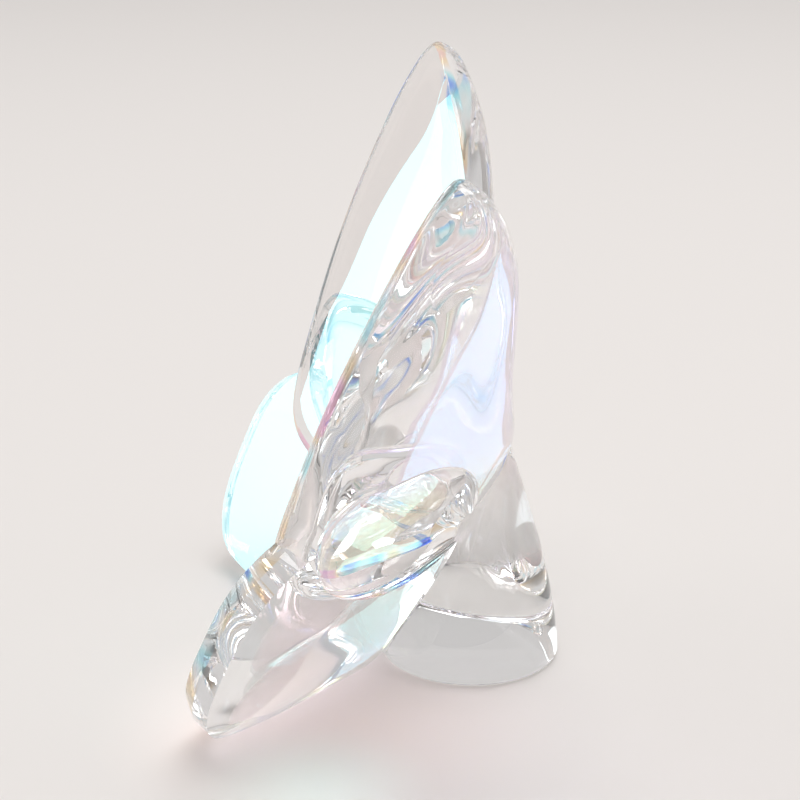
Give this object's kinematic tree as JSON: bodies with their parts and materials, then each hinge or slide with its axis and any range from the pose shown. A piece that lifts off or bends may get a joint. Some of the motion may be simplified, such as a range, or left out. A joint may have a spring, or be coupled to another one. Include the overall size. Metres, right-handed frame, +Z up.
{
  "type": "butterfly ornament",
  "caption": "Free-standing clear crystal butterfly with raised pointed upper wings, rounded lower wings and a cone-shaped body on a flat round foot.",
  "frame": {"origin": "centre of the body's round foot, on the surface that the ornament stands on", "axes": "+Z up, X across the wings from tip to tip, +Y to the back, where the cone-shaped body stands"},
  "size_m": [0.0808, 0.0402, 0.064],
  "materials": {
    "crystal": "clear lead crystal, fire-polished, with a thin iridescent coat and flat polished facets"
  },
  "bodies": {
    "root": {"body": "crystal", "upper_wing_left": "crystal", "upper_wing_right": "crystal", "lower_wing_left": "crystal", "lower_wing_right": "crystal"}
  },
  "joints": []
}
